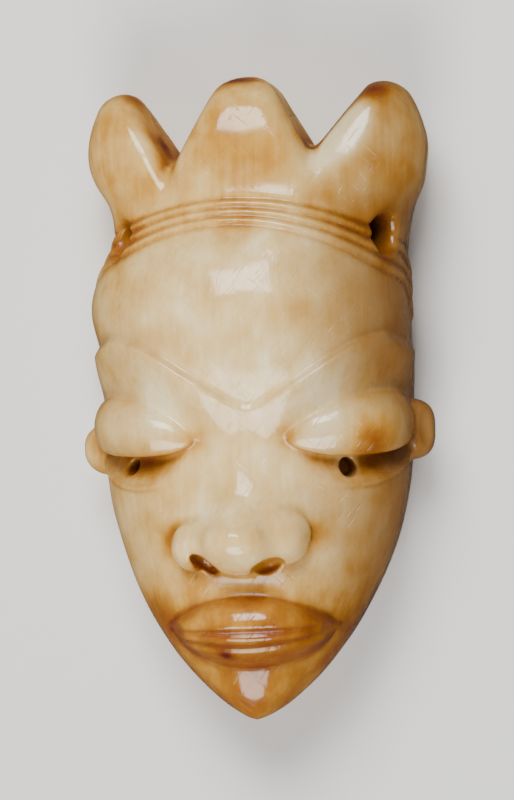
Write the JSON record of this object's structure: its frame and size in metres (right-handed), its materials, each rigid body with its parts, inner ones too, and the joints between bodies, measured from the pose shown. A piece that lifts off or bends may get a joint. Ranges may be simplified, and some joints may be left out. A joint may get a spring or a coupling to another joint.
{
  "type": "miniature pendant mask",
  "caption": "Small carved ivory face mask with a lobed crown, ridged headband, V-shaped brow, lowered lids and pointed chin, drilled for a cord.",
  "frame": {"origin": "under the middle of the mask's outline, on the plane of its flat back", "axes": "+Z out of the face, +Y to the top of the crown, +X to the right as one looks at the face"},
  "size_m": [0.0341, 0.062, 0.0248],
  "materials": {
    "ivory": "satin"
  },
  "bodies": {
    "root": {"mask": "ivory"}
  },
  "joints": []
}
